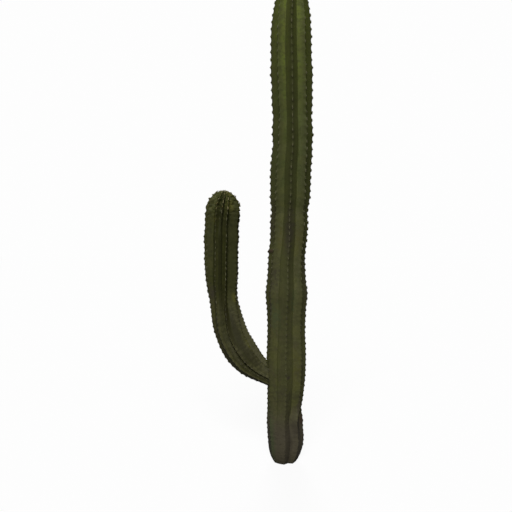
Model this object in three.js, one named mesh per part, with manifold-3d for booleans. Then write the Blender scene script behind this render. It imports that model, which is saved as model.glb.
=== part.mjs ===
// A columnar cactus: one ribbed trunk and one arm that leaves it low down and turns up beside it.
// Millimetres, +Z up. The origin is the middle of the flat cut at ground level, and -Y is the front.
import {
  BufferGeometry, CubicBezierCurve, CurvePath, Float32BufferAttribute, Group, MathUtils, Mesh,
  MeshStandardMaterial, QuadraticBezierCurve, Vector2, Vector3,
} from 'three';
import { mergeVertices } from 'three/addons/utils/BufferGeometryUtils.js';
import Module from 'manifold-3d';

// Trunk
const trunkHeight = 4840;
const trunkRadius = 200; // to the rib crests, where the trunk is neither swollen nor pinched
const trunkDomeHeight = 700;
const trunkDomePower = 2.2;
const footShare = 0.6; // crest radius at the cut, as a share of the trunk's
const footRise = 120; // height over which most of that is made up
const trunkRibs = 8;

// Each pinch or swelling of the trunk: its height, how much it changes the radius, and its half length
const trunkGrowth = [
  { at: 520, gain: -0.12, span: 300 }, // the waist above the foot
  { at: 1300, gain: -0.06, span: 220 },
  { at: 1660, gain: 0.07, span: 100 }, // the swelling beside the arm
  { at: 2120, gain: -0.1, span: 400 }, // a long lean stretch
  { at: 2480, gain: -0.07, span: 80 }, // and the neck at its top
  { at: 3150, gain: -0.03, span: 70 },
  { at: 3430, gain: -0.05, span: 90 },
  { at: 3870, gain: 0.03, span: 90 },
];

// How far the trunk's middle stands off plumb towards +X: pairs of height and offset
const trunkLean = [
  [0, 0], [200, 10], [420, 0], [900, 15], [1950, 20], [2300, 45], [2800, 60], [3200, 80], [3600, 75],
  [4200, 65], [trunkHeight, 75],
];

// The ribs wander as the trunk grows: height, then the bearings of the left, front and right crests,
// in degrees from the front towards +X. The other crests divide the rest of the way round evenly.
const crestBearings = [
  [0, -55, -5, 38],
  [400, -57, -4, 40],
  [560, -60, -1, 54],
  [700, -61, -3, 47],
  [1000, -61, -4, 46],
  [1400, -57, -2, 44],
  [1800, -52, 0, 46],
  [2050, -52, 1, 48],
  [2300, -53, -2, 47],
  [2800, -46, -3, 41],
  [3600, -44, -3, 38],
  [trunkHeight, -44, -1, 38],
];

// Arm: it leaves the trunk's axis nearly level, bends up and ends in an upright shaft
const armBearing = 18; // degrees behind -X
const armRootHeight = 800;
const armRootRun = 350; // how far the handle at the root of the bend runs out
const armRootRise = 30; // and how far it rises
const armReach = 690; // from the trunk's axis to the shaft
const bendTop = 1900;
const bendHandle = 800;
const armTip = 2715;
const shaftBow = 15; // the shaft bows out by this much
const tipBack = 35; // and its tip stands this much nearer the trunk
const armRadius = 175;
const armDomeHeight = 260;
const armDomePower = 2.1;
const armStart = 60; // distance along the arm at which its solid starts, well inside the trunk
const armSplit = 1120; // distance along the arm of the pinch that ends the bend

// How far the ribs wind round the arm: distance along it and degrees
const armTurns = [
  [0, -40], [300, -33], [500, -27], [800, -22], [950, -13], [1100, -7], [1200, -2], [1400, 1],
  [1700, 4], [1900, 2.5], [2100, 4], [2200, 8], [2500, 10],
];

// Pinches and swellings of the arm, by distance from the trunk's axis: its neck, the bend, the dry season after
// it, and two of the shaft's
const armGrowth = [
  { at: 170, gain: -0.4, span: 240 },
  { at: 800, gain: -0.04, span: 200 },
  { at: 1120, gain: -0.16, span: 190 },
  { at: 1760, gain: 0.04, span: 60 },
  { at: 2110, gain: 0.03, span: 100 },
];

// Directions of the arm's rib crests and of the groove after each, in degrees from its near side towards the
// trunk. One rib at the front is narrow, and the ones beside it are broad.
const armRibs = [
  [-142, -124], [-106, -88], [-72, -55], [-38, -21], [-2, 25], [34, 48], [84, 101], [118, 136], [153, 185],
];

// Ribs
const grooveDepth = 0.26; // of the crest radius
const footGrooveDepth = 0.05;
const grooveRise = 900; // height at which the trunk's grooves have their full depth
const apexGrooveDepth = 0.1;
const crestWidth = 0.17; // share of a rib's half width that its blunt crest takes
const crestDrop = 0.025; // how far the crest's shoulders lie below it, of the crest radius

const rowStep = 92; // height of one row of facets
const footRows = 6;
const footHeight = 300;
const domeRows = 9;
const seatGap = 0.4; // clearance between the arm and the trunk
const splitGap = 0.3; // clearance between the arm's two lengths

// Crest radius at a distance along a limb, before its dome
function girth(radius, growth, distance) {
  let size = radius;
  for (const { at, gain, span } of growth) {
    size *= 1 + gain * Math.exp(-(((distance - at) / span) ** 2));
  }
  return size;
}

// Share of the radius that a limb keeps under its domed end
function domeShare(distance, length, domeHeight, power) {
  const rise = MathUtils.clamp((distance - length + domeHeight) / domeHeight, 0, 1);
  return Math.sqrt(1 - rise ** power);
}

// A ring of points round a limb: crest, shoulder, groove and shoulder for each rib
function ribRing({ centre, near, inner, radius, depth, ribs }) {
  const ring = [];
  const place = (degrees, share) => {
    const angle = MathUtils.degToRad(degrees);
    const out = near.clone().multiplyScalar(Math.cos(angle)).addScaledVector(inner, Math.sin(angle));
    ring.push(centre.clone().addScaledVector(out, radius * share));
  };
  ribs.forEach(([crest, groove], index) => {
    const next = index + 1 < ribs.length ? ribs[index + 1][0] : ribs[0][0] + 360;
    place(crest, 1);
    place(MathUtils.lerp(crest, groove, crestWidth), 1 - crestDrop);
    place(groove, 1 - depth);
    place(MathUtils.lerp(next, groove, crestWidth), 1 - crestDrop);
  });
  return ring;
}

// Closes a pile of rings into one solid, with a fan at each end
function limbGeometry(rings, bottom, top) {
  const count = rings[0].length;
  const points = [...rings.flat(), bottom, top];
  const faces = [];
  const at = (row, column) => row * count + (column % count);
  const last = rings.length - 1;
  for (let column = 0; column < count; column += 1) {
    for (let row = 0; row < last; row += 1) {
      faces.push(at(row, column), at(row, column + 1), at(row + 1, column + 1));
      faces.push(at(row, column), at(row + 1, column + 1), at(row + 1, column));
    }
    faces.push(at(0, column + 1), at(0, column), points.length - 2);
    faces.push(at(last, column), at(last, column + 1), points.length - 1);
  }
  const geometry = new BufferGeometry();
  const coordinates = points.flatMap((point) => point.toArray());
  geometry.setAttribute('position', new Float32BufferAttribute(coordinates, 3));
  geometry.setIndex(faces);
  return geometry;
}

// Evenly spaced distances from start to end, both included, no further apart than a row of facets
function evenRows(start, end) {
  const count = Math.ceil((end - start) / rowStep);
  return Array.from({ length: count + 1 }, (_, row) => MathUtils.lerp(start, end, row / count));
}

// Distances up a dome, closer together towards its apex
function domeDistances(length, domeHeight) {
  return Array.from({ length: domeRows }, (_, row) => {
    const rise = Math.sin(((row + 1) / (domeRows + 1)) * (Math.PI / 2));
    return length - domeHeight + domeHeight * rise;
  });
}

// What a table with one row for each height gives at any height, eased from row to row
function easedRow(table, height) {
  const next = Math.max(1, table.findIndex(([stand]) => stand >= height));
  const [low, ...from] = table[next - 1];
  const [high, ...to] = table[next];
  const share = MathUtils.smoothstep(height, low, high);
  return from.map((value, column) => MathUtils.lerp(value, to[column], share));
}

function trunkCentre(height) {
  return new Vector3(easedRow(trunkLean, height)[0], 0, height);
}

// Each trunk rib's crest, and the groove midway to the next
function trunkRibsAt(height) {
  const [left, front, right] = easedRow(crestBearings, height);
  const step = (left + 360 - right) / (trunkRibs - 2);
  const others = Array.from({ length: trunkRibs - 3 }, (_, rib) => right + (rib + 1) * step);
  const crests = [left, front, right, ...others, left + 360];
  return crests.slice(0, -1).map((crest, rib) => [crest, (crest + crests[rib + 1]) / 2]);
}

function trunkStation(height, growBy) {
  const foot = 1 - (1 - footShare) * Math.exp(-height / footRise);
  const dome = domeShare(height, trunkHeight, trunkDomeHeight, trunkDomePower);
  const risen = MathUtils.smoothstep(height, 0, grooveRise);
  return {
    centre: trunkCentre(height),
    near: new Vector3(0, -1, 0),
    inner: new Vector3(1, 0, 0),
    radius: girth(trunkRadius, trunkGrowth, height) * foot * dome + growBy,
    depth: MathUtils.lerp(footGrooveDepth, MathUtils.lerp(apexGrooveDepth, grooveDepth, dome), risen),
    ribs: trunkRibsAt(height),
  };
}

function trunkGeometry(growBy) {
  const footSteps = Array.from({ length: footRows }, (_, row) => (row / footRows) * footHeight);
  const heights = [
    ...footSteps,
    ...evenRows(footHeight, trunkHeight - trunkDomeHeight),
    ...domeDistances(trunkHeight, trunkDomeHeight),
  ];
  const rings = heights.map((height) => ribRing(trunkStation(height, growBy)));
  return limbGeometry(rings, trunkCentre(0), trunkCentre(trunkHeight));
}

// The arm's middle line in its own upright plane: run out from the trunk's axis, and height
const armPath = new CurvePath();
armPath.add(new CubicBezierCurve(
  new Vector2(0, armRootHeight),
  new Vector2(armRootRun, armRootHeight + armRootRise),
  new Vector2(armReach, bendTop - bendHandle),
  new Vector2(armReach, bendTop),
));
armPath.add(new QuadraticBezierCurve(
  new Vector2(armReach, bendTop),
  new Vector2(armReach + shaftBow, (bendTop + armTip) / 2),
  new Vector2(armReach - tipBack, armTip),
));
const armLength = armPath.getLength();
const bearing = MathUtils.degToRad(armBearing);
const armAway = new Vector3(-Math.cos(bearing), Math.sin(bearing), 0);
const armNear = new Vector3(-Math.sin(bearing), -Math.cos(bearing), 0);

function armStation(distance) {
  const spot = armPath.getPointAt(distance / armLength);
  const heading = armPath.getTangentAt(distance / armLength);
  const centre = trunkCentre(armRootHeight).setZ(spot.y).addScaledVector(armAway, spot.x);
  const dome = domeShare(distance, armLength, armDomeHeight, armDomePower);
  const [turn] = easedRow(armTurns, distance);
  return {
    centre,
    near: armNear,
    inner: armAway.clone().multiplyScalar(-heading.y).setZ(heading.x),
    radius: girth(armRadius, armGrowth, distance) * dome,
    depth: MathUtils.lerp(apexGrooveDepth, grooveDepth, dome),
    ribs: armRibs.map((rib) => rib.map((direction) => direction + turn)),
  };
}

function armGeometry(distances, tip) {
  const stations = distances.map(armStation);
  return limbGeometry(stations.map(ribRing), stations[0].centre, tip ?? stations.at(-1).centre);
}

const wasm = await Module();
wasm.setup();

function toSolid(geometry) {
  const merged = mergeVertices(geometry, 1e-3);
  return new wasm.Manifold(new wasm.Mesh({
    numProp: 3,
    vertProperties: new Float32Array(merged.attributes.position.array),
    triVerts: new Uint32Array(merged.index.array),
  }));
}

function toGeometry(solid) {
  const { vertProperties, triVerts } = solid.getMesh();
  const geometry = new BufferGeometry();
  geometry.setAttribute('position', new Float32BufferAttribute(vertProperties, 3));
  geometry.setIndex([...triVerts]);
  return geometry;
}

function limbMesh(name, geometry, material) {
  const mesh = new Mesh(geometry, material);
  mesh.name = name;
  return mesh;
}

// From the trunk's side round to the pinch above the bend. The trunk's ribs cut it to its seat.
function elbowGeometry() {
  const bend = armGeometry(evenRows(armStart, armSplit - splitGap / 2));
  return toGeometry(toSolid(bend).subtract(toSolid(trunkGeometry(seatGap))));
}

// From the pinch to the domed tip
function shaftGeometry() {
  const distances = [
    ...evenRows(armSplit + splitGap / 2, armLength - armDomeHeight),
    ...domeDistances(armLength, armDomeHeight),
  ];
  return armGeometry(distances, armStation(armLength).centre);
}

const trunkSkin = new MeshStandardMaterial({ color: 0x474a28, roughness: 0.7, metalness: 0 });
const armSkin = new MeshStandardMaterial({ color: 0x3d3f26, roughness: 0.7, metalness: 0 });

const cactus = new Group();
cactus.add(limbMesh('trunk', trunkGeometry(0), trunkSkin));
cactus.add(limbMesh('arm_elbow', elbowGeometry(), armSkin));
cactus.add(limbMesh('arm_upright', shaftGeometry(), armSkin));

export default cactus;
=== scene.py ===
import math
import bpy
import numpy as np
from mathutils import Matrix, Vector


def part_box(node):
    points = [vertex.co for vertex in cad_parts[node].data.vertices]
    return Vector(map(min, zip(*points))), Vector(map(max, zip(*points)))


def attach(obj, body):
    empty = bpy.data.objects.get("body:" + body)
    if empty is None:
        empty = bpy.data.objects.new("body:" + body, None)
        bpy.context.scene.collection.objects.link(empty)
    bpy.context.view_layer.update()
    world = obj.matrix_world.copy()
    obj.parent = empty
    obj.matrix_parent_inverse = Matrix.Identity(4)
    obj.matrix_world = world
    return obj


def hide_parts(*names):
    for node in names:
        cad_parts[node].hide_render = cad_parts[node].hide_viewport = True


# A columnar cactus with one upturned arm. Metres, +Z up, -Y the front, origin at the middle of the foot.
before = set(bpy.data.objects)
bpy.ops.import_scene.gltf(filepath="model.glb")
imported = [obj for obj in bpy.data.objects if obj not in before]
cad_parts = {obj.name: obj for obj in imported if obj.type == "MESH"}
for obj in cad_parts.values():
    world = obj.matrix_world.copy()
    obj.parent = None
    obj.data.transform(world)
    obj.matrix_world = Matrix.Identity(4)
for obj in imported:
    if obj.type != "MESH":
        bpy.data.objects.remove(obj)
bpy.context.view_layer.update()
scene = bpy.context.scene
scene.view_settings.view_transform = "Standard"  # so that the hex colours below come out as they are written

# The limbs' driving sizes are the ones that the CAD solids are made from
trunk = {
    "length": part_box("trunk")[1].z,
    "radius": 0.2,
    "domeHeight": 0.7,
    "domePower": 2.2,
    "footShare": 0.6,  # crest radius at the cut, as a share of the trunk's
    "footRise": 0.12,
    "ribs": 8,
    # the ribs wander: height, then the bearings of the left, front and right crests from the front towards +X
    "crests": [
        (0, -55, -5, 38), (0.4, -57, -4, 40), (0.56, -60, -1, 54), (0.7, -61, -3, 47), (1, -61, -4, 46),
        (1.4, -57, -2, 44), (1.8, -52, 0, 46), (2.05, -52, 1, 48), (2.3, -53, -2, 47), (2.8, -46, -3, 41),
        (3.6, -44, -3, 38), (4.84, -44, -1, 38),
    ],
    # how far the groove between the left and front crests lies out of their middle, in degrees, by height
    "leftGroove": [(0, 0), (2.4, 0), (2.9, -2.7), (4.84, -2.7)],
    # how much of their full depth the grooves left and right of the front crest reach, by height
    "grooveLevels": [
        (0, 0.7, 4.6), (0.15, 0.7, 3.6), (0.3, 0.6, 2.2), (0.8, 0.5, 0.85), (1.9, 0.5, 0.85), (2.5, 1, 0.9),
        (4.84, 1, 1),
    ],
    # pinches and swellings: height, how much it changes the radius, and its half length
    "growth": [
        (0.52, -0.12, 0.3), (1.3, -0.06, 0.22), (1.66, 0.07, 0.1), (2.12, -0.1, 0.4), (2.48, -0.07, 0.08),
        (3.15, -0.03, 0.07), (3.43, -0.05, 0.09), (3.87, 0.03, 0.09),
    ],
    # how far the middle stands towards +X, by height
    "lean": [
        (0, 0), (0.2, 0.01), (0.42, 0), (0.9, 0.015), (1.95, 0.02), (2.3, 0.045), (2.8, 0.06), (3.2, 0.08),
        (3.6, 0.075), (4.2, 0.065), (4.84, 0.075),
    ],
    # groove depths, as shares of the crest radius
    "footGroove": 0.05,
    "groove": 0.27,
    "apexGroove": 0.12,
    "grooveRise": 0.9,  # height over which the grooves deepen from the cut up
    # distance between areoles along a rib, by height
    "pitch": [
        (0, 0.047), (0.6, 0.049), (1.2, 0.055), (2.3, 0.06), (3, 0.071), (4.2, 0.078), (4.6, 0.06),
        (4.84, 0.03),
    ],
    "columns": 9,  # of faces, from a crest to a groove
    "barePart": 0.14,  # the corky foot has shed its areoles
    "youngPart": 0.35,  # length of the soft growing end
    # how corky the skin is at its oldest, and the heights between which that fades
    "bark": (1, 0.05, 0.85),
    # how worn down the areoles are at their oldest, and the heights between which that fades
    "wear": (1, 0.3, 2.7),
    # how proud the knobs stand, by height
    "knobs": [(0, 0.2), (0.6, 0.4), (1.7, 0.5), (2.4, 0.95), (3, 0.85), (4.84, 0.85)],
    # old wounds and dents: height, bearing from the front towards +X, width, length, lift, stain
    "marks": [
        (2.085, -86, 0.045, 0.022, 0.016, 0.9), (0.41, 78, 0.05, 0.055, 0.004, 0.85),
        (0.51, 96, 0.13, 0.05, -0.011, 0), (0.36, -50, 0.05, 0.05, 0.003, 0),
    ],
    # tints of the skin: height, bearing, width, length, and how bruised (some of these are painted shade),
    # how fresh a green and how ochre
    "tints": [
        # the bruises near bearings of 85 either side, beside the side crests low down and on the foot's right
        # side are painted shade
        (2.28, -1, 0.09, 0.3, 0.7, 0, 0), (2.4, -88, 0.06, 0.3, 0.6, 0, 0),
        (0.36, 42, 0.11, 0.12, 0.75, 0, 0), (0.2, 12, 0.05, 0.35, 0.8, 0, 0),
        (1.45, -45, 0.12, 0.2, 0, 0.6, 0), (1.6, 20, 0.06, 0.15, 0, 0.5, 0),
        (2.2, 40, 0.14, 0.18, 0, 0, 0.5), (2.2, -35, 0.1, 0.2, 0, 0, 0.5), (0.95, 35, 0.1, 0.3, 0, 0, 0.4),
        (1.75, -84, 0.04, 0.4, 0.45, 0, 0), (1.75, 84, 0.04, 0.5, 0.55, 0, 0),
        (0.68, -10, 0.17, 0.14, 0.5, 0, 0), (1.85, -48, 0.12, 0.24, 0.55, 0, 0),
        (0.86, 4, 0.022, 0.016, 1.2, 0, 0), (0.25, -55, 0.06, 0.3, 0, 0.8, 0), (0.6, 54, 0.03, 0.25, 1, 0, 0),
        (1.2, 54, 0.025, 0.5, 0.8, 0, 0), (1.7, -56, 0.025, 0.5, 0.75, 0, 0), (1.3, 150, 0.2, 0.4, 0, 0.8, 0),
        (2.9, 190, 0.2, 0.5, 0, 0, 0.8), (1.9, 120, 0.1, 0.3, 0.8, 0, 0),
    ],
    # each rib's skin, from the left crest round: how much painted shade it takes (on the ribs at the outline
    # and behind, and on the front rib, which is also duller in its own colour), and how grey it is with bloom
    # and painted sky reflection
    "ribShade": [0.1, 0.7, 0.15, 0.8, 0.7, 0.2, 0.6, 0.5],
    "ribBloom": [0.1, 0.35, 0, 0.1, 0.2, 0.6, 0.3, 0.35],
    "seed": 4,
}
arm = {
    "bearing": 18,  # degrees behind -X
    "rootHeight": 0.8,
    "rootRun": 0.35,
    "rootRise": 0.03,
    "reach": 0.69,
    "bendTop": 1.9,
    "bendHandle": 0.8,
    "tip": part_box("arm_upright")[1].z,
    "shaftBow": 0.015,
    "tipBack": 0.035,  # the tip stands this much nearer the trunk than the shaft's foot
    "radius": 0.175,
    "domeHeight": 0.26,
    "domePower": 2.1,
    "start": 0.1,  # distance along the arm at which its skin starts, inside the trunk
    # how far the ribs wind round the arm, in degrees, by distance along it
    "turns": [
        (0, -40), (0.3, -33), (0.5, -27), (0.8, -22), (0.95, -13), (1.1, -7), (1.2, -2), (1.4, 1), (1.7, 4),
        (1.9, 2.5), (2.1, 4), (2.2, 8), (2.5, 10),
    ],
    "growth": [
        (0.17, -0.4, 0.24), (0.8, -0.04, 0.2), (1.12, -0.16, 0.19), (1.76, 0.04, 0.06), (2.11, 0.03, 0.1),
    ],
    # crest and the groove after it, in degrees from the near side towards the trunk
    "ribs": [
        (-142, -124), (-106, -88), (-72, -55), (-38, -21), (-2, 6), (15, 25), (34, 48), (84, 101), (118, 136),
        (153, 185),
    ],
    "youngRib": 5,  # counted from 0, this one only parts from the rib before it high up the shaft
    # by distance: how far down the young rib's crest lies, and how deep the two grooves on either side of it
    # are, as shares of the full depth
    "levels": [
        (0, 0.48, 0.3, 0.3, 0.7, 0.25), (0.5, 0.5, 0.3, 0.3, 0.75, 0.3), (0.8, 0.75, 0.4, 0.35, 1.1, 0.5),
        (1.1, 0.88, 0.6, 0.45, 1.3, 1), (1.7, 0.9, 1, 0.5, 1.35, 1.2), (2, 0.6, 1, 0.85, 1.2, 1.2),
        (2.2, 0.35, 1, 1, 1.1, 1.1), (2.5, 0.2, 1, 1, 1, 1),
    ],
    "groove": 0.27,
    "apexGroove": 0.14,
    "pitch": [(0, 0.047), (0.9, 0.049), (1.3, 0.055), (2, 0.058), (2.2, 0.05), (2.35, 0.028)],
    "columns": 8,
    "barePart": 0.22,
    "youngPart": 0.42,
    "bark": (0.25, 0.2, 0.6),
    "wear": (0.8, 0.5, 1.5),
    "knobs": [(0, 0.25), (0.8, 0.45), (2, 0.5), (2.2, 1.5), (2.5, 2)],
    "marks": [],
    # the ochre share of these tints is painted shade, dark, on the flank that faces down in the bend and
    # round the back
    "tints": [
        (1.2, -30, 0.08, 0.12, 0.6, 0, 0), (0.76, 31, 0.06, 0.3, 0, 0, 1.3), (0.45, 30, 0.1, 0.2, 0, 0, 0.8),
        (2.1, 55, 0.06, 0.07, 0, 0.8, 0), (2.28, 70, 0.08, 0.09, 0, 0.9, 0), (2.3, -30, 0.1, 0.06, 0, 0.8, 0),
        (1.13, 74, 0.04, 0.08, 0, 0.7, 0), (0.55, 62, 0.04, 0.1, 0, 0.7, 0),
        (1.95, -10, 0.05, 0.07, 0, 0.6, 0), (1.7, 150, 0.12, 0.4, 0, 0, 0.8),
        (0.7, -120, 0.1, 0.3, 0.8, 0, 0),
    ],
    # how much painted shade each rib takes, most in the valley beside the young rib and on the rib towards
    # the trunk; then how grey each rib is
    "ribShade": [0.2, 0.5, 0, 0, 0.3, 0.9, 0.1, 0.4, 0.3, 0.5],
    "ribBloom": [0.4, 0, 0.1, 0, 0, 0, 0, 0, 0.4, 0.2],
    "seed": 9,
}
rowsPerAreole = 8  # rows of faces from one areole to the next, so that each sits on a vertex
openRow = 0.006  # the last ring before the apex is at least this wide
stoutGirth = 0.8  # share of the limb's radius above which its grooves have their full depth
sunkenCrest = 0.6  # a crest that lies deeper than this share of the grooves bears no areoles
armSamples = 4000  # points on each of the two curves of the arm's middle line
growthSamples = 20001  # steps in which the distance from areole to areole is added up


# Radius to the rib crests, by distance along the limb
def girth(limb, distance):
    size = np.full_like(distance, limb["radius"])
    for at, gain, span in limb["growth"]:
        size *= 1 + gain * np.exp(-((distance - at) / span) ** 2)
    rise = np.clip((distance - limb["length"] + limb["domeHeight"]) / limb["domeHeight"], 0, 1)
    return size * np.sqrt(1 - rise ** limb["domePower"])


# 0 below the low value and 1 above the high one, eased between them
def smoothstep(value, low, high):
    share = np.clip((value - low) / (high - low), 0, 1)
    return share * share * (3 - 2 * share)


# What a table of places and sizes gives at any place, in straight lines from row to row
def ramp(points, value):
    places, sizes = zip(*points)
    return np.interp(value, places, sizes)


# What a table with one row for each height gives at any height, eased from row to row
def easedRows(table, height):
    table = np.array(table, float)
    span = np.clip(np.searchsorted(table[:, 0], height), 1, len(table) - 1)
    eased = smoothstep(height, table[span - 1, 0], table[span, 0])[:, None]
    return table[span - 1, 1:] + (table[span, 1:] - table[span - 1, 1:]) * eased


def trunkCentre(height):
    lean = easedRows(trunk["lean"], height)[:, 0]
    return np.stack([lean, np.zeros_like(height), height], -1)


# Crest and following groove of each trunk rib. The ribs that the table leaves out divide the rest of the way
# round evenly
def trunkRibs(height):
    near = easedRows(trunk["crests"], height)
    rest = np.arange(1, trunk["ribs"] - 2) / (trunk["ribs"] - 2)
    others = near[:, 2:] + (near[:, :1] + 360 - near[:, 2:]) * rest
    crests = np.concatenate([near, others], 1)
    grooves = (crests + np.concatenate([crests[:, 1:], crests[:, :1] + 360], 1)) / 2
    grooves[:, 0] += easedRows(trunk["leftGroove"], height)[:, 0]
    return crests, grooves


# Groove depth as a share of the crest radius, shallower where the limb narrows to its tip
def grooveShare(limb, radius):
    stout = np.clip(radius / limb["radius"] / stoutGirth, 0, 1)
    return limb["apexGroove"] + (limb["groove"] - limb["apexGroove"]) * stout


# A sign of age, strongest at the limb's old end and faded from one place to another
def faded(sign, place):
    strongest, start, end = sign
    return strongest * (1 - smoothstep(place, start, end))


# The trunk's section at each height: its middle, which way its sides face, its radius, crests and grooves,
# and how old it looks
def trunkSections(height):
    foot = 1 - (1 - trunk["footShare"]) * np.exp(-height / trunk["footRise"])
    radius = girth(trunk, height) * foot
    risen = smoothstep(height, 0, trunk["grooveRise"])
    ones = np.ones_like(height)[:, None]
    crests, grooves = trunkRibs(height)
    grooveLevel = np.ones_like(crests)
    grooveLevel[:, :2] = easedRows(trunk["grooveLevels"], height)
    return {
        "centre": trunkCentre(height),
        "near": ones * np.array([[0, -1, 0]]),
        "inner": ones * np.array([[1, 0, 0]]),
        "up": ones * np.array([[0, 0, 1]]),
        "radius": radius,
        "groove": trunk["footGroove"] + (grooveShare(trunk, radius) - trunk["footGroove"]) * risen,
        "crests": crests,
        "grooves": grooves,
        "crestLevel": np.zeros_like(crests),
        "grooveLevel": grooveLevel,
        "weathered": faded(trunk["bark"], height),
        "aged": faded(trunk["wear"], height),
        "knobs": ramp(trunk["knobs"], height),
    }


# The arm's middle line in its own upright plane: run out from the trunk's axis, and height
def armLine():
    share = np.linspace(0, 1, armSamples)[:, None]
    rest = 1 - share
    root, top = np.array([0, arm["rootHeight"]]), np.array([arm["reach"], arm["bendTop"]])
    leaving, arriving = root + [arm["rootRun"], arm["rootRise"]], top - [0, arm["bendHandle"]]
    bend = (rest ** 3 * root + 3 * share * rest ** 2 * leaving
            + 3 * share ** 2 * rest * arriving + share ** 3 * top)
    tip = np.array([arm["reach"] - arm["tipBack"], arm["tip"]])
    bow = np.array([arm["reach"] + arm["shaftBow"], (arm["bendTop"] + arm["tip"]) / 2])
    shaft = rest ** 2 * top + 2 * share * rest * bow + share ** 2 * tip
    line = np.concatenate([bend, shaft[1:]])
    along = np.concatenate([[0], np.cumsum(np.linalg.norm(np.diff(line, axis=0), axis=1))])
    return line, along


armPoints, armAlong = armLine()
arm["length"] = armAlong[-1]


# The arm's section at each distance along it, in the trunk's terms
def armSections(distance):
    run = np.interp(distance, armAlong, armPoints[:, 0])
    height = np.interp(distance, armAlong, armPoints[:, 1])
    heading = np.gradient(armPoints, armAlong, axis=0)
    outward = np.interp(distance, armAlong, heading[:, 0])[:, None]
    rising = np.interp(distance, armAlong, heading[:, 1])[:, None]
    bearing = math.radians(arm["bearing"])
    away = np.array([[-math.cos(bearing), math.sin(bearing), 0]])
    upright = np.array([[0, 0, 1]])
    root = trunkCentre(np.array([arm["rootHeight"]])) * [1, 1, 0]
    radius = girth(arm, distance)
    turn = ramp(arm["turns"], distance)[:, None]
    ribs = np.array(arm["ribs"], float)
    levels = easedRows(arm["levels"], distance)
    young = arm["youngRib"]
    crestLevel, grooveLevel = np.zeros((len(run), len(ribs))), np.ones((len(run), len(ribs)))
    crestLevel[:, young] = levels[:, 0]
    grooveLevel[:, young - 2:young + 2] = levels[:, 1:]
    return {
        "centre": root + away * run[:, None] + upright * height[:, None],
        "near": np.ones_like(run)[:, None] * np.array([[-math.sin(bearing), -math.cos(bearing), 0]]),
        "inner": upright * outward - away * rising,
        "up": away * outward + upright * rising,
        "radius": radius,
        "groove": grooveShare(arm, radius),
        "crests": ribs[:, 0] + turn,
        "grooves": ribs[:, 1] + turn,
        "crestLevel": crestLevel,
        "grooveLevel": grooveLevel,
        "weathered": faded(arm["bark"], distance),
        "aged": faded(arm["wear"], distance),
        "knobs": ramp(arm["knobs"], distance),
    }


# Distances of the rows of faces, closer where the areoles are closer, and the rows' numbers
def growthRows(limb, start):
    fine = np.linspace(start, limb["length"], growthSamples)
    step = np.hypot(np.diff(fine), np.diff(girth(limb, fine)))
    count = np.concatenate([[0], np.cumsum(step / ramp(limb["pitch"], (fine[1:] + fine[:-1]) / 2))])
    isOpen = girth(limb, fine) > openRow
    steps = np.arange(int(count[isOpen][-1] * rowsPerAreole))
    return np.interp(steps / rowsPerAreole, count, fine), steps


ribWaver = {
    "degrees": 0.5,
    "slow": 6.1,  # radians to the metre
    "quick": 13.7,
    "quickShare": 0.6,
}
crestFineness = 0.09  # how much narrower the columns of faces are at the crest than on the flank


# Angles of each row's columns: a rib runs from the groove before it over its crest to the groove after it
def columnAngles(limb, ring, distance, rng):
    slow, quick = rng.uniform(0, 2 * math.pi, (2, ring["crests"].shape[1]))
    sway = (np.sin(distance[:, None] * ribWaver["slow"] + slow)
            + ribWaver["quickShare"] * np.sin(distance[:, None] * ribWaver["quick"] + quick))
    crest = ring["crests"] + ribWaver["degrees"] * sway
    after = ring["grooves"] + ribWaver["degrees"] * sway
    before = np.concatenate([after[:, -1:] - 360, after[:, :-1]], 1)
    even = np.linspace(0, 1, limb["columns"] + 1)
    across = even + crestFineness * np.sin(2 * math.pi * even) * (even - 1)
    falling = crest[..., None] + (after - crest)[..., None] * across[:-1]
    rising = before[..., None] + (crest - before)[..., None] * (1 - across[:0:-1])
    angles = np.concatenate([rising, falling], -1).reshape(len(distance), -1)
    return np.radians(angles), np.tile(np.concatenate([across[:0:-1], across[:-1]]), crest.shape[1])


# What the limb's marks and tints do to the skin: lift, stain, and the three shares of tint
def skinPatches(limb, angles, distance, radius):
    # 1 in the middle of a patch of skin, falling away to 0 round it
    def patch(height, bearing, width, length):
        turnedBy = np.angle(np.exp(1j * (angles - math.radians(bearing))))
        return np.exp(-(turnedBy * radius / width) ** 2 - ((distance - height) / length) ** 2)

    lift, stain, tint = np.zeros_like(angles), np.zeros_like(angles), np.zeros(angles.shape + (3,))
    for *place, rise, tone in limb["marks"]:
        lift += patch(*place) * rise
        stain = np.maximum(stain, patch(*place) * tone)
    for *place, bruise, verdure, ochreAndShade in limb["tints"]:
        tint = np.maximum(tint, patch(*place)[..., None] * (bruise, verdure, ochreAndShade))
    return lift, stain, tint


# Faces of a tube whose points come row by row, then one that closes its foot and one that closes its apex
def tubeFaces(rows, columns):
    column = np.arange(columns)
    beside = np.roll(column, -1)
    row = np.arange(rows - 1)[:, None] * columns
    quads = np.stack([row + column, row + beside, row + beside + columns, row + column + columns], -1)
    top = (rows - 1) * columns
    foot = np.stack([beside, column, np.full(columns, rows * columns)], -1)
    apex = np.stack([top + column, top + beside, np.full(columns, rows * columns + 1)], -1)
    return quads.reshape(-1, 4).tolist() + foot.tolist() + apex.tolist()


# Stores each field on the points. The foot's point takes 0 and the apex's takes the last value
def storeFields(mesh, fields):
    for name, values in fields.items():
        isVector = values.ndim == 3
        flat = values.reshape(-1, 3) if isVector else values.reshape(-1)
        flat = np.concatenate([flat, flat[:1] * 0, flat[-1:]])
        kind = "FLOAT_VECTOR" if isVector else "BOOLEAN" if values.dtype == bool else "FLOAT"
        stored = mesh.attributes.new(name, kind, "POINT")
        stored.data.foreach_set("vector" if isVector else "value", flat.ravel())


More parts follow.
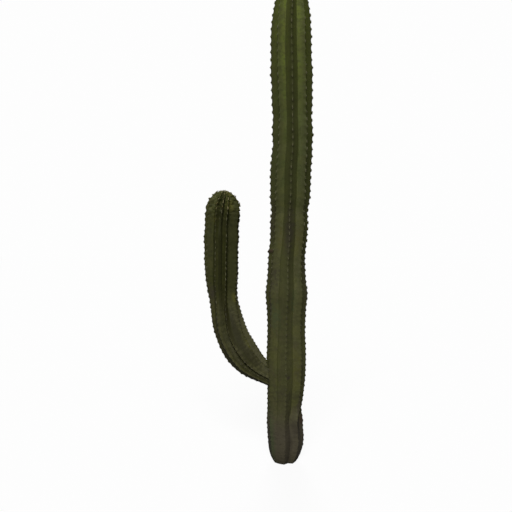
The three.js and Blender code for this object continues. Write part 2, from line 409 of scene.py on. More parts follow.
# The two closing points carry their own directions, because no ring gives them one. The apex bears an areole
def placeApex(mesh, ring):
    foot, apex = len(mesh.vertices) - 2, len(mesh.vertices) - 1
    for field in ("outward", "upward"):
        mesh.attributes[field].data[foot].vector = (0, 0, 0)
    mesh.attributes["outward"].data[apex].vector = ring["up"][-1]
    mesh.attributes["upward"].data[apex].vector = ring["near"][-1]
    mesh.attributes["ribDepth"].data[apex].value = 0
    mesh.attributes["isAreole"].data[apex].value = True


# The smooth limb at crest height, with what its growing rules need stored on each vertex
def limbTube(name, limb, sections, start=0.0):
    rng = np.random.default_rng(limb["seed"])
    distance, steps = growthRows(limb, start)
    ring = sections(distance)
    angles, across = columnAngles(limb, ring, distance, rng)
    rows, columns = angles.shape
    ribs = ring["crests"].shape[1]
    rib = np.repeat(np.arange(ribs), 2 * limb["columns"])
    rising = np.tile(np.arange(2 * limb["columns"]) < limb["columns"], ribs)
    cos, sin = np.cos(angles), np.sin(angles)
    outward = ring["near"][:, None] * cos[..., None] + ring["inner"][:, None] * sin[..., None]
    distance, radius = distance[:, None], ring["radius"][:, None]
    depth = radius * ring["groove"][:, None]
    crestLevel = ring["crestLevel"][:, rib]
    grooveLevel = np.where(rising, np.roll(ring["grooveLevel"], 1, 1)[:, rib], ring["grooveLevel"][:, rib])
    # areoles on neighbouring ribs stand half a pitch apart, give or take a row
    stagger = (np.arange(ribs) % 2 * rowsPerAreole // 2 + rng.integers(-1, 2, ribs))[rib]
    count = steps[:, None] + stagger
    lift, stain, tint = skinPatches(limb, angles, distance, radius)
    every = np.ones((rows, columns))
    fields = {
        "outward": outward,
        "upward": ring["up"][:, None] * every[..., None],
        "grown": np.stack([radius * sin, -radius * cos, distance * every], -1),
        "ribDepth": depth * (grooveLevel - crestLevel),
        "across": across * every,
        "areoleStep": count / rowsPerAreole,
        "youth": smoothstep(distance, limb["length"] - limb["youngPart"], limb["length"]) * every,
        "slender": np.clip(radius / limb["radius"], 0, 1) * every,
        "weathered": ring["weathered"][:, None] * every,
        "aged": ring["aged"][:, None] * every,
        "knobs": ring["knobs"][:, None] * every,
        "ribShade": np.array(limb["ribShade"])[rib] * every,
        "ribBloom": np.array(limb["ribBloom"])[rib] * every,
        "markLift": lift,
        "stain": stain,
        "tint": tint,
        "isAreole": ((across == 0) & (count % rowsPerAreole == 0) & (crestLevel < sunkenCrest)
                     & (distance > limb["barePart"])),
    }
    reach = radius - depth * crestLevel
    ends = sections(np.array([start, limb["length"]]))["centre"]
    points = np.concatenate([(ring["centre"][:, None] + outward * reach[..., None]).reshape(-1, 3), ends])
    mesh = bpy.data.meshes.new(name)
    mesh.from_pydata(points.tolist(), [], tubeFaces(rows, columns))
    storeFields(mesh, fields)
    placeApex(mesh, ring)
    tube = bpy.data.objects.new(name, mesh)
    scene.collection.objects.link(tube)
    print(name, "tube:", rows, "rows of", columns)
    return tube


# Adds a node. A setting can be a property, a curve or a colour ramp; an input can be a value, a node or a
# socket, and goes by name or number. Map Range's are 0 the value, 1 and 2 the range it comes from, 3 and 4
# the range it goes to; Mix's colours are 6 and 7, and Random Value's least and most are 2 and 3
def addNode(tree, kind, settings=None, inputs=None):
    node = tree.nodes.new(kind)
    for name, value in (settings or {}).items():
        if name == "curve":
            line = node.mapping.curves[0]
            for place, height in value[1:-1]:
                line.points.new(place, height)
            line.points[0].location = value[0]
            line.points[-1].location = value[-1]
            node.mapping.update()
        elif name == "ramp":
            for place, tone in value[1:-1]:
                node.color_ramp.elements.new(place).color = tone
            node.color_ramp.elements[0].position, node.color_ramp.elements[0].color = value[0]
            node.color_ramp.elements[-1].position, node.color_ramp.elements[-1].color = value[-1]
        else:
            setattr(node, name, value)
    for name, value in (inputs or {}).items():
        if isinstance(value, bpy.types.Node):
            value = next(socket for socket in value.outputs if socket.enabled)
        if isinstance(value, bpy.types.NodeSocket):
            tree.links.new(value, node.inputs[name])
        else:
            node.inputs[name].default_value = value
    return node


# A geometry tree with a mesh going in and out, and these further inputs
def growthTree(name, inputs):
    tree = bpy.data.node_groups.new(name, "GeometryNodeTree")
    tree.interface.new_socket(name="Geometry", in_out="INPUT", socket_type="NodeSocketGeometry")
    for label, value in inputs.items():
        isMaterial = isinstance(value, bpy.types.Material)
        kind = "Material" if isMaterial else "Int" if isinstance(value, int) else "Float"
        tree.interface.new_socket(name=label, in_out="INPUT", socket_type="NodeSocket" + kind)
    tree.interface.new_socket(name="Geometry", in_out="OUTPUT", socket_type="NodeSocketGeometry")
    return tree, addNode(tree, "NodeGroupInput").outputs


# Runs a tree on a host's mesh and gives the result as a plain mesh of its own
def grow(name, host, tree, inputs):
    piece = bpy.data.objects.new(name, host.data)
    scene.collection.objects.link(piece)
    modifier = piece.modifiers.new(name, "NODES")
    modifier.node_group = tree
    for socket in tree.interface.items_tree:
        if socket.in_out == "INPUT" and socket.name in inputs:
            modifier[socket.identifier] = inputs[socket.name]
    shown = bpy.context.evaluated_depsgraph_get()
    grown = piece.evaluated_get(shown)
    mesh = bpy.data.meshes.new_from_object(grown, preserve_all_data_layers=True, depsgraph=shown)
    piece.modifiers.remove(modifier)
    piece.data = mesh
    mesh.name = name
    print(name, "has", sum(len(face.vertices) - 2 for face in mesh.polygons), "triangles")
    return piece


# settings that many nodes share
plus = {"operation": "ADD"}
times = {"operation": "MULTIPLY"}
above = {"operation": "GREATER_THAN"}
unclamped = {"clamp": False}
number = {"data_type": "FLOAT"}
vector = {"data_type": "FLOAT_VECTOR"}
turning = {"data_type": "QUATERNION"}
scaling = {"operation": "SCALE"}
ownAxes = {"rotation_space": "LOCAL"}

relief = {
    # crest to groove: a blunt crest, a nearly flat flank, and a sharp groove
    "section": [
        (0, 0), (0.05, 0.03), (0.12, 0.125), (0.25, 0.32), (0.5, 0.6), (0.75, 0.82), (0.92, 0.955), (1, 1),
    ],
    # how proud the knob stands from halfway below an areole, over the areole at 0.5, to halfway above it
    "knobLine": [
        (0, 0), (0.125, 0.05), (0.25, 0.24), (0.375, 0.66), (0.5, 1), (0.625, 0.8), (0.75, 0.42),
        (0.875, 0.12), (1, 0),
    ],
    "youngKnobWidth": 0.9,  # of the flank, where the limb is youngest
    "knobVariation": (0.6, 1.25),
    # how many patterns there are to a metre of skin
    "knobChanges": 11.0,
    "lumps": 5.0,
    "buds": 42.0,
    "folds": (9.0, 9.0, 42.0),
    "smoothFold": 0.3,  # how deep the folds of unweathered skin are, of the full depth
}


# Presses the grooves into a limb, raises a knob under each areole, and wrinkles the old skin
def ribbedSkinTree(inputs):
    tree, given = growthTree("ribbedSkin", inputs)
    field = {}
    for name in ("across", "ribDepth", "areoleStep", "youth", "slender", "weathered", "knobs", "markLift"):
        field[name] = addNode(tree, "GeometryNodeInputNamedAttribute", number, {"Name": name})
    for name in ("outward", "grown"):
        field[name] = addNode(tree, "GeometryNodeInputNamedAttribute", vector, {"Name": name})
    flank = addNode(tree, "ShaderNodeFloatCurve", {"curve": relief["section"]}, {"Value": field["across"]})
    fall = addNode(tree, "ShaderNodeMath", times, {0: field["ribDepth"], 1: flank})
    # knob: it swells slowly from above, is highest at the areole and drops away faster under it
    half = addNode(tree, "ShaderNodeMath", plus, {0: field["areoleStep"], 1: 0.5})
    between = addNode(tree, "ShaderNodeMath", {"operation": "FRACT"}, {0: half})
    knob = addNode(tree, "ShaderNodeFloatCurve", {"curve": relief["knobLine"]}, {"Value": between})
    width = addNode(tree, "ShaderNodeMapRange", {},
                    {0: field["youth"], 3: given["Knob width"], 4: relief["youngKnobWidth"]})
    crest = addNode(tree, "ShaderNodeMapRange", {"interpolation_type": "SMOOTHSTEP"},
                    {0: field["across"], 1: 0.0, 2: width, 3: 1.0, 4: 0.0})
    chance = addNode(tree, "ShaderNodeTexNoise", {},
                     {"Vector": field["grown"], "Scale": relief["knobChanges"], "Detail": 1.0})
    least, most = relief["knobVariation"]
    varied = addNode(tree, "ShaderNodeMapRange", {}, {0: chance, 1: 0.3, 2: 0.7, 3: least, 4: most})
    full = addNode(tree, "ShaderNodeMath", times, {0: varied, 1: given["Knob height"]})
    height = addNode(tree, "ShaderNodeMath", times, {0: field["knobs"], 1: full})
    raised = addNode(tree, "ShaderNodeMath", times, {0: knob, 1: crest})
    knobs = addNode(tree, "ShaderNodeMath", times, {0: raised, 1: height})
    # slow lumps of uneven growth
    lump = addNode(tree, "ShaderNodeTexNoise", {},
                   {"Vector": field["grown"], "Scale": relief["lumps"], "Detail": 2.0})
    lumps = addNode(tree, "ShaderNodeMapRange", unclamped, {0: lump, 3: -1.0, 4: 1.0})
    uneven = addNode(tree, "ShaderNodeMath", times, {0: lumps, 1: given["Lump height"]})
    # small swellings all over the soft young end
    bud = addNode(tree, "ShaderNodeTexNoise", {},
                  {"Vector": field["grown"], "Scale": relief["buds"], "Detail": 0.0})
    buds = addNode(tree, "ShaderNodeMapRange", unclamped,
                   {0: bud, 1: 0.35, 2: 0.65, 3: 0.0, 4: given["Bud height"]})
    budding = addNode(tree, "ShaderNodeMath", times, {0: buds, 1: field["youth"]})
    # creases across the ribs, deepest where the skin is weathered
    drawn = addNode(tree, "ShaderNodeVectorMath", times, {0: field["grown"], 1: relief["folds"]})
    crease = addNode(tree, "ShaderNodeTexNoise", {}, {"Vector": drawn, "Scale": 1.0, "Detail": 3.0})
    folds = addNode(tree, "ShaderNodeMapRange", unclamped, {0: crease, 3: -1.0, 4: 1.0})
    old = addNode(tree, "ShaderNodeMapRange", {}, {0: field["weathered"], 3: relief["smoothFold"], 4: 1.0})
    fold = addNode(tree, "ShaderNodeMath", times, {0: folds, 1: given["Fold depth"]})
    folded = addNode(tree, "ShaderNodeMath", times, {0: fold, 1: old})
    proud = budding
    for part in (uneven, folded, knobs):
        proud = addNode(tree, "ShaderNodeMath", plus, {0: proud, 1: part})
    held = addNode(tree, "ShaderNodeMath", times, {0: proud, 1: field["slender"]})
    marked = addNode(tree, "ShaderNodeMath", plus, {0: held, 1: field["markLift"]})
    moved = addNode(tree, "ShaderNodeMath", {"operation": "SUBTRACT"}, {0: marked, 1: fall})
    offset = addNode(tree, "ShaderNodeVectorMath", scaling, {0: field["outward"], "Scale": moved})
    shaped = addNode(tree, "GeometryNodeSetPosition", {}, {"Geometry": given["Geometry"], "Offset": offset})
    smooth = addNode(tree, "GeometryNodeSetShadeSmooth", {}, {"Geometry": shaped})
    real = addNode(tree, "GeometryNodeRealizeInstances", {}, {"Geometry": smooth})
    skinned = addNode(tree, "GeometryNodeSetMaterial", {}, {"Geometry": real, "Material": given["Skin"]})
    addNode(tree, "NodeGroupOutput", {}, {"Geometry": skinned})
    return tree


# A point on each areole that stores which way it faces, and the size, youth and wear of what grows there. The
# size varies at random, and is larger on the young end and smaller where the areoles are worn
def areolePoints(tree, given):
    chosen = addNode(tree, "GeometryNodeInputNamedAttribute", {"data_type": "BOOLEAN"}, {"Name": "isAreole"})
    upward = addNode(tree, "GeometryNodeInputNamedAttribute", vector, {"Name": "upward"})
    sign = {}
    for name in ("youth", "aged"):
        sign[name] = addNode(tree, "GeometryNodeInputNamedAttribute", number, {"Name": name})
    facing = addNode(tree, "FunctionNodeAxesToRotation", {"primary_axis": "Z", "secondary_axis": "Y"},
                     {0: addNode(tree, "GeometryNodeInputNormal"), 1: upward})
    faced = addNode(tree, "GeometryNodeStoreNamedAttribute", {"data_type": "QUATERNION", "domain": "POINT"},
                    {"Geometry": given["Geometry"], "Name": "facing", "Value": facing})
    spots = addNode(tree, "GeometryNodeMeshToPoints", {}, {"Mesh": faced, "Selection": chosen})
    size = addNode(tree, "FunctionNodeRandomValue", number,
                   {2: given["Least size"], 3: given["Most size"], "Seed": given["Size seed"]})
    fuller = addNode(tree, "ShaderNodeMapRange", {}, {0: sign["youth"], 3: 1.0, 4: given["Young size"]})
    thinner = addNode(tree, "ShaderNodeMapRange", {}, {0: sign["aged"], 3: fuller, 4: given["Old size"]})
    scale = addNode(tree, "ShaderNodeMath", times, {0: size, 1: thinner})
    return spots, scale, sign


# A small cushion of felt on every areole, long axis up the rib
def feltTree(inputs):
    tree, given = growthTree("areoleFelt", inputs)
    spots, scale, sign = areolePoints(tree, given)
    shape = addNode(tree, "ShaderNodeCombineXYZ", {},
                    {0: given["Width"], 1: given["Length"], 2: given["Height"]})
    scaled = addNode(tree, "ShaderNodeVectorMath", scaling, {0: shape, "Scale": scale})
    pad = addNode(tree, "GeometryNodeMeshIcoSphere", {}, {"Radius": 0.5, "Subdivisions": 2})
    turned = addNode(tree, "GeometryNodeInputNamedAttribute", turning, {"Name": "facing"})
    pads = addNode(tree, "GeometryNodeInstanceOnPoints", {},
                   {"Points": spots, "Instance": pad.outputs["Mesh"], "Rotation": turned, "Scale": scaled})
    real = addNode(tree, "GeometryNodeRealizeInstances", {}, {"Geometry": pads})
    smooth = addNode(tree, "GeometryNodeSetShadeSmooth", {}, {"Geometry": real})
    felted = addNode(tree, "GeometryNodeSetMaterial", {}, {"Geometry": smooth, "Material": given["Felt"]})
    for name, limit, felt in (("aged", "Old from", "Old felt"), ("youth", "Young from", "Young felt")):
        isSo = addNode(tree, "FunctionNodeCompare", above, {0: sign[name], 1: given[limit]})
        felted = addNode(tree, "GeometryNodeSetMaterial", {},
                         {"Geometry": felted, "Selection": isSo, "Material": given[felt]})
    addNode(tree, "NodeGroupOutput", {}, {"Geometry": felted})
    return tree


# Spines spread from each areole: each turned round it by its own number and leaned out by a random angle
def spineTree(inputs):
    tree, given = growthTree("areoleSpines", inputs)
    spots, scale, sign = areolePoints(tree, given)
    copies = addNode(tree, "GeometryNodeDuplicateElements", {"domain": "POINT"},
                     {"Geometry": spots, "Amount": given["Spines"]})
    share = addNode(tree, "ShaderNodeMath", {"operation": "DIVIDE"},
                    {0: copies.outputs["Duplicate Index"], 1: given["Spines"]})
    jitter = addNode(tree, "FunctionNodeRandomValue", number,
                     {2: given["Least jitter"], 3: given["Most jitter"], "Seed": given["Turn seed"]})
    turn = addNode(tree, "ShaderNodeMath", plus, {0: share, 1: jitter})
    around = addNode(tree, "ShaderNodeMath", times, {0: turn, 1: 2 * math.pi})
    lean = addNode(tree, "FunctionNodeRandomValue", number,
                   {2: given["Least lean"], 3: given["Most lean"], "Seed": given["Lean seed"]})
    leaned = addNode(tree, "GeometryNodeInputNamedAttribute", turning, {"Name": "facing"})
    for axis, angle in ((2, around), (0, lean)):
        angles = addNode(tree, "ShaderNodeCombineXYZ", {}, {axis: angle})
        step = addNode(tree, "FunctionNodeEulerToRotation", {}, {0: angles})
        leaned = addNode(tree, "FunctionNodeRotateRotation", ownAxes, {0: leaned, 1: step})
    spine = addNode(tree, "GeometryNodeMeshCone", {"fill_type": "TRIANGLE_FAN"},
                    {"Vertices": 4, "Radius Top": 0.0, "Radius Bottom": given["Thickness"],
                     "Depth": given["Length"]})
    spines = addNode(tree, "GeometryNodeInstanceOnPoints", {},
                     {"Points": copies.outputs["Geometry"], "Instance": spine.outputs["Mesh"],
                      "Rotation": leaned, "Scale": scale})
    real = addNode(tree, "GeometryNodeRealizeInstances", {}, {"Geometry": spines})
    horny = addNode(tree, "GeometryNodeSetMaterial", {}, {"Geometry": real, "Material": given["Horn"]})
    isYoung = addNode(tree, "FunctionNodeCompare", above, {0: sign["youth"], 1: given["Young from"]})
    golden = addNode(tree, "GeometryNodeSetMaterial", {},
                     {"Geometry": horny, "Selection": isYoung, "Material": given["Young horn"]})
    addNode(tree, "NodeGroupOutput", {}, {"Geometry": golden})
    return tree


# Linear colour of an sRGB hex value
def colour(code):
    parts = [int(code[place:place + 2], 16) / 255 for place in (1, 3, 5)]
    linear = [part / 12.92 if part <= 0.04045 else ((part + 0.055) / 1.055) ** 2.4 for part in parts]
    return (*linear, 1.0)


# Living cactus skin, a waxy cuticle over green flesh. To the eye the wax is a dull, broken shine over mottled
# green, and with age it turns to dry grey-brown cork with fine cracks across the ribs
# The colour also carries painted shade and light: in the groove bottoms, on shaded ribs, in some bruise and
# ochre tints, and as dark and light spots on the young end; the grey of some ribs is partly painted sky
# reflection
def waxySkin(name, look):
    material = bpy.data.materials.new(name)
    material.use_nodes = True
    tree = material.node_tree
    field = {}
    for label in ("across", "youth", "weathered", "aged", "stain", "ribShade", "ribBloom"):
        field[label] = addNode(tree, "ShaderNodeAttribute", {"attribute_name": label}).outputs["Fac"]
    grown = addNode(tree, "ShaderNodeAttribute", {"attribute_name": "grown"}).outputs["Vector"]
    tint = addNode(tree, "ShaderNodeAttribute", {"attribute_name": "tint"}).outputs["Vector"]
    height = addNode(tree, "ShaderNodeSeparateXYZ", {}, {0: grown}).outputs["Z"]
    drawnOut = addNode(tree, "ShaderNodeMapping", {}, {"Vector": grown, "Scale": (1, 1, 0.09)})
    pressed = addNode(tree, "ShaderNodeMapping", {}, {"Vector": grown, "Scale": (0.3, 0.3, 1)})
    patterns = {  # where it lies, its real size in metres, detail
        "patch": (grown, 0.16, 3.0),
        "glow": (grown, 0.11, 2.0),
        "mottle": (grown, 0.028, 4.0),
        "streak": (drawnOut, 0.014, 3.0),
        "bud": (grown, 0.02, 1.0),
        "band": (pressed, 0.04, 3.0),
        "line": (pressed, 0.012, 3.0),
        "pore": (grown, 0.004, 2.0),  # coarser than real pores, so that it shows at all
    }
    noise = {}
    for label, (where, size, detail) in patterns.items():
        pattern = addNode(tree, "ShaderNodeTexNoise", {},
                          {"Vector": where, "Scale": 1 / size, "Detail": detail})
        noise[label] = pattern.outputs["Fac"]
    ragged = addNode(tree, "ShaderNodeMath", {"operation": "SUBTRACT"}, {0: noise["mottle"], 1: 0.5})
    torn = addNode(tree, "ShaderNodeVectorMath", {"operation": "MULTIPLY_ADD"},
                   {0: ragged, 1: (look["raggedness"],) * 3, 2: tint})
    torn = addNode(tree, "ShaderNodeSeparateXYZ", {}, {0: torn}).outputs
    ranges = {  # source, start, end, value at the start, value at the end
        "risen": (height, look["risenFrom"], look["risenHeight"], 0, 1),
        "tall": (height, look["brightFrom"], look["brightHeight"], 0, 1),
        "patchy": (noise["patch"], 0.45, 0.6, 0, 0.6),
        "mottled": (noise["mottle"], 0.45, 0.65, 0, 0.5),
        "streaky": (noise["streak"], 0.5, 0.72, 0, 0.35),
        "banded": (noise["band"], 0.48, 0.6, 0, 0.45),
        # on the young end, dark spots paint the shade of its small bumps and lighter spots paint light on
        # them
        "dimpled": (noise["bud"], 0.5, 0.4, 0, 0.7),
        "swollen": (noise["bud"], 0.52, 0.64, 0, 0.6),
        "sunny": (noise["glow"], 0.5, 0.62, 0, 0.35),
        # painted shade along the bottom of each groove
        "hollow": (field["across"], 0.9, 1, 0, 0.6),
        "crested": (field["across"], 0, 0.75, look["crestShade"], 0),
        # painted shade on whole ribs
        "shaded": (field["ribShade"], 0, 1, 0, 0.7),
        # grey bloom on whole ribs, and painted sky reflection on the left outline rib
        "bloomed": (field["ribBloom"], 0, 1, 0, 0.75),
        # bruise tints, some of them painted shade at the outlines and on the foot
        "bruised": (torn["X"], 0.2, 0.8, 0, 0.75),
        "fresher": (torn["Y"], 0.2, 0.8, 0, 0.75),
        # ochre tints; on the arm they lay painted shade
        "ochrous": (torn["Z"], 0.2, 0.8, 0, 0.85),
        "crestAge": (field["aged"], 0, 1, 1, 0.3),
        "shadeAge": (field["aged"], 0.05, 0.6, 1, look["oldShade"]),
        "dullAge": (field["aged"], 0, 0.6, 0.3, 1),
        "lined": (noise["line"], 0.52, 0.66, 0, 0.55),
        "corked": (field["weathered"], 0.15, 0.85, 0, 0.76),
        "fresh": (field["youth"], 0.1, 1, 0, 0.6),
        "stained": (field["stain"], 0.15, 0.8, 0, 0.85),
    }
    mask = {}
    for label, (source, low, high, fromValue, toValue) in ranges.items():
        mask[label] = addNode(tree, "ShaderNodeMapRange", {"interpolation_type": "SMOOTHSTEP"},
                              {0: source, 1: low, 2: high, 3: fromValue, 4: toValue})
    both = {  # where two things hold at once
        "dimples": (mask["dimpled"], field["youth"]),
        "swellings": (mask["swollen"], field["youth"]),
        "rippled": (mask["banded"], mask["dullAge"]),
        "cracked": (mask["corked"], mask["lined"]),
        "darkened": (mask["shaded"], mask["shadeAge"]),
        "ridged": (mask["crested"], mask["crestAge"]),
        "dulled": (mask["patchy"], mask["dullAge"]),
    }
    for label, (first, second) in both.items():
        mask[label] = addNode(tree, "ShaderNodeMath", times, {0: first, 1: second})
    layers = [  # mask and tone, from the lowest up
        # the young end's dimples and swellings are painted shade and painted light
        ("risen", "middle"), ("tall", "upper"), ("fresh", "young"), ("dimples", "shade"),
        ("swellings", "bud"), ("dulled", "dull"), ("mottled", "shade"), ("streaky", "bloom"),
        # darkened lays the ribs' painted shade
        ("rippled", "band"), ("sunny", "sunny"), ("darkened", "shade"), ("bloomed", "dustAndReflection"),
        ("ochrous", "ochreAndShade"), ("hollow", "groove"), ("ridged", "crest"), ("corked", "cork"),
        ("cracked", "crack"), ("fresher", "verdure"), ("bruised", "bruise"), ("stained", "wound"),
    ]
    paint = colour(look["lower"])
    for share, tone in layers:
        paint = addNode(tree, "ShaderNodeMix", {"data_type": "RGBA"},
                        {0: mask[share], 6: paint, 7: colour(look[tone])}).outputs[2]
    rough = addNode(tree, "ShaderNodeMapRange", {},
                    {0: noise["mottle"], 3: look["smoothest"], 4: look["roughest"]})
    grain = addNode(tree, "ShaderNodeMath", plus, {0: noise["pore"], 1: noise["line"]})
    bump = addNode(tree, "ShaderNodeBump", {},
                   {"Strength": look["bump"], "Distance": look["grainDepth"], "Height": grain})
    shader = tree.nodes["Principled BSDF"]
    shader.inputs["IOR"].default_value = look["ior"]
    shader.inputs["Specular IOR Level"].default_value = look["gloss"]
    tree.links.new(paint, shader.inputs["Base Color"])
    tree.links.new(rough.outputs["Result"], shader.inputs["Roughness"])
    tree.links.new(bump.outputs["Normal"], shader.inputs["Normal"])
    return material


# What is dead and dry on the plant. Felt is short matted wool, which gives the eye a soft grey without shine.
# A spine is hard woody fibre, smooth as horn: grey when old, straw-gold when young, with a faint gleam
def dryGrowth(name, look):
    material = bpy.data.materials.new(name)
    material.use_nodes = True
    tree = material.node_tree
    where = addNode(tree, "ShaderNodeTexCoord").outputs["Object"]
    pattern = addNode(tree, "ShaderNodeTexNoise", {},
                      {"Vector": where, "Scale": 1 / look["grain"], "Detail": 3.0})
    grain = pattern.outputs["Fac"]
    tones = [(0.3, colour(look["dark"])), (0.7, colour(look["light"]))]
    tone = addNode(tree, "ShaderNodeValToRGB", {"ramp": tones}, {"Fac": grain})
    bump = addNode(tree, "ShaderNodeBump", {},
                   {"Strength": look["bump"], "Distance": look["grainDepth"], "Height": grain})
    shader = tree.nodes["Principled BSDF"]
    shader.inputs["Roughness"].default_value = look["roughness"]
    shader.inputs["IOR"].default_value = look["ior"]
    tree.links.new(tone.outputs["Color"], shader.inputs["Base Color"])
    tree.links.new(bump.outputs["Normal"], shader.inputs["Normal"])
    return material


trunkLook = {
    "lower": "#62623b",
    "middle": "#596130",
    "upper": "#7b892c",
    "young": "#828c3c",
    # painted light on the young end's small swellings
    "bud": "#8a9145",
    "dull": "#5a553b",
    # a darker green for mottling, also used for painted shade on the shaded ribs and in the young end's
    # dimples
    "shade": "#4a5024",
    "bloom": "#6c7048",
    "band": "#504f32",
    "sunny": "#6d6e38",
    # grey of bloom and dust, and of painted sky reflection on the left outline rib
    "dustAndReflection": "#5f5d3f",
    "verdure": "#566040",
    "ochreAndShade": "#67632f",
    # the colour of bruises, and of painted shade at the outlines and on the foot
    "bruise": "#4c4639",
    # painted shade for the bottoms of the grooves
    "groove": "#414619",
    "crest": "#4b4c2c",
    "cork": "#625a4c",
    "crack": "#403a2f",
    "wound": "#554538",
    "risenFrom": 2.2,  # heights between which the lower green gives way to the middle one
    "risenHeight": 2.9,
    "brightFrom": 2.8,  # and the middle one to the upper one
    "brightHeight": 4.8,
    "raggedness": 0.9,  # of the edges of the tinted patches
    "smoothest": 0.5,  # roughness
    "roughest": 0.76,
    "bump": 0.5,
    "grainDepth": 0.0012,
    "ior": 1.44,  # plant wax
    "gloss": 0.25,  # bloom and dust break the shine up
    "crestShade": 0.55,
    "oldShade": 0.2,  # how much of the ribs' shade is left where they are old
}
# on the arm the ochre tone is a dark one that paints shade
armLook = dict(trunkLook, lower="#5f5d38", middle="#4b4d25", upper="#4b4d25", young="#6c7136", bud="#838350",
               sunny="#57562c", shade="#33341a", ochreAndShade="#38361c", verdure="#6a682c", bloom="#62642f",
               band="#3b3a1e", risenFrom=0.8, risenHeight=1.4, crestShade=0.25, oldShade=0.6)
feltLook = {
    "dark": "#69674f",
    "light": "#86835f",
    "grain": 0.003,  # a tuft of hairs
    "grainDepth": 0.001,
    "bump": 0.8,
    "roughness": 0.95,
    "ior": 1.45,
}
oldFeltLook = dict(feltLook, dark="#434132", light="#6a6651")
youngFeltLook = dict(feltLook, dark="#857f58", light="#9c966c")
hornLook = dict(feltLook, dark="#534e3f", light="#90866e", grain=0.006, bump=0.2, roughness=0.6, ior=1.54)
youngHornLook = dict(hornLook, dark="#947d42", light="#ceb469")

# metres, or shares where no length is meant
skinSettings = {
    "Knob width": 0.28,  # of the flank
    "Knob height": 0.01,
    "Lump height": 0.004,
    "Fold depth": 0.003,
    "Bud height": 0.018,
    "Skin": waxySkin("waxyTrunkSkin", trunkLook),
}
feltSettings = {
    "Width": 0.007,
    "Length": 0.03,
    "Height": 0.006,
    "Least size": 0.25,
    "Most size": 1.35,
    "Size seed": 3,
    "Young size": 1.2,
    "Old size": 0.7,
    "Young from": 0.45,
    "Old from": 0.35,
    "Felt": dryGrowth("areoleFelt", feltLook),
    "Old felt": dryGrowth("oldAreoleFelt", oldFeltLook),
    "Young felt": dryGrowth("youngAreoleFelt", youngFeltLook),
}
spineSettings = {
    "Spines": 9,  # to an areole
    "Length": 0.011,
    "Thickness": 0.0007,
    "Least jitter": -0.07,  # of a whole turn
    "Most jitter": 0.07,
    "Turn seed": 5,
    "Least lean": 0.5,  # radians
    "Most lean": 1.35,
    "Lean seed": 16,
    "Least size": 0.6,
    "Most size": 1.1,
    "Size seed": 28,
    "Young size": 1.3,
    "Old size": 0.6,
    "Young from": 0.45,
    "Horn": dryGrowth("spineHorn", hornLook),
    "Young horn": dryGrowth("youngSpineHorn", youngHornLook),
}

skinTree = ribbedSkinTree(skinSettings)
padTree = feltTree(feltSettings)
thornTree = spineTree(spineSettings)
armSkinSettings = dict(skinSettings, Skin=waxySkin("waxyArmSkin", armLook))
limbs = {
    "trunk": (limbTube("trunkTube", trunk, trunkSections), skinSettings, "trunk_skin", ["trunk"]),
    "arm": (limbTube("armTube", arm, armSections, arm["start"]), armSkinSettings, "arm_skin",
            ["arm_elbow", "arm_upright"]),
}
for limb, (tube, settings, slot, nodes) in limbs.items():
    skin = grow(limb + "Skin", tube, skinTree, settings)
    felt = grow(limb + "Felt", skin, padTree, feltSettings)
    spines = grow(limb + "Spines", skin, thornTree, spineSettings)
    bpy.data.objects.remove(tube)
    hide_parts(*nodes)
    for piece, slotName in ((skin, slot), (felt, "areole_felt"), (spines, "spines")):
        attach(piece, "root")

studio = {
    "eye": (-0.285, -4.8, 2.035),
    "lens": 33.75,
    "floor": 200,  # from its middle to its edge
    "paper": 0.92,  # how bright the floor is to the eye
    "flag": 0.2,  # and to the plant, as if grey cloth lay round it
    "shadow": 0.1,  # how much of its brightness a full shadow takes
    "sky": 0.018,
    # name, degrees round from the front towards +X, degrees up, strength, width of the light in degrees
    "lights": [("keyLight", -6, 44, 1.82, 30), ("backLight", 180, 30, 1.4, 25)],
}
white = (1, 1, 1, 1)


# A soft sun. It gives how bright it makes level white ground
def softSun(name, bearing, height, strength, width):
    light = bpy.data.lights.new(name, "SUN")
    light.energy = strength
    light.angle = math.radians(width)
    bearing, height = math.radians(bearing), math.radians(height)
    level = math.cos(height)
    towards = Vector((math.sin(bearing) * level, -math.cos(bearing) * level, math.sin(height)))
    lamp = bpy.data.objects.new(name, light)
    lamp.rotation_euler = towards.to_track_quat("Z", "Y").to_euler()
    scene.collection.objects.link(lamp)
    return strength / math.pi * math.sin(height)


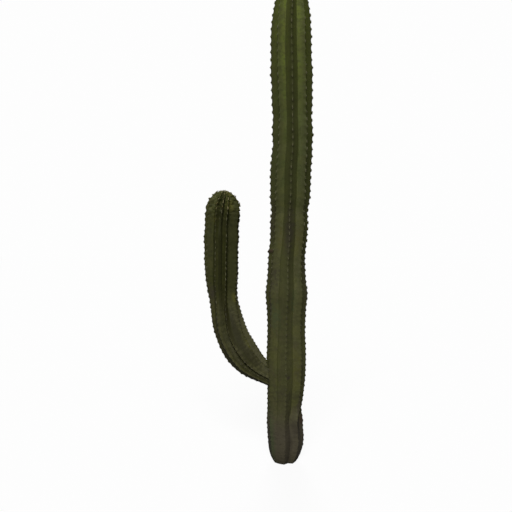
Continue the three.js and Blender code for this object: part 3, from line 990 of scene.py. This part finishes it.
def placeCamera():
    camera = bpy.data.objects.new("camera", bpy.data.cameras.new("camera"))
    camera.data.lens = studio["lens"]
    camera.location = studio["eye"]
    camera.rotation_euler = (math.pi / 2, 0, 0)
    scene.collection.objects.link(camera)
    scene.camera = camera


# Matt white studio paper: an even bright ground that takes a faint shadow and throws little light back
def whitePaper():
    paper = bpy.data.materials.new("matPaper")
    paper.use_nodes = True
    tree = paper.node_tree
    shader = tree.nodes["Principled BSDF"]
    seen = addNode(tree, "ShaderNodeLightPath").outputs["Is Camera Ray"]
    tone = addNode(tree, "ShaderNodeMapRange", {}, {0: seen, 3: studio["flag"], 4: studio["shadow"]})
    tree.links.new(tone.outputs["Result"], shader.inputs["Base Color"])
    lit = addNode(tree, "ShaderNodeMath", times, {0: seen, 1: studio["paper"]})
    shader.inputs["Emission Color"].default_value = white
    tree.links.new(lit.outputs["Value"], shader.inputs["Emission Strength"])
    shader.inputs["Roughness"].default_value = 1
    shader.inputs["Specular IOR Level"].default_value = 0
    return paper


def layFloor():
    mesh = bpy.data.meshes.new("floor")
    half = studio["floor"]
    corners = [(-half, -half, 0), (half, -half, 0), (half, half, 0), (-half, half, 0)]
    mesh.from_pydata(corners, [], [(0, 1, 2, 3)])
    mesh.materials.append(whitePaper())
    floor = bpy.data.objects.new("floor", mesh)
    scene.collection.objects.link(floor)


# Behind the floor's edge the sky looks as bright as the floor, but lights the plant less
def hangSky(onFloor):
    world = bpy.data.worlds.new("studio")
    scene.world = world
    world.use_nodes = True
    tree = world.node_tree
    back = tree.nodes["Background"]
    back.inputs["Color"].default_value = white
    seen = addNode(tree, "ShaderNodeLightPath").outputs["Is Camera Ray"]
    whole = studio["paper"] + studio["shadow"] * onFloor
    bright = addNode(tree, "ShaderNodeMapRange", {}, {0: seen, 3: studio["sky"], 4: whole})
    tree.links.new(bright.outputs["Result"], back.inputs["Strength"])


placeCamera()
onFloor = studio["sky"] + sum(softSun(*light) for light in studio["lights"])
layFloor()
hangSky(onFloor)
print("studio is set")
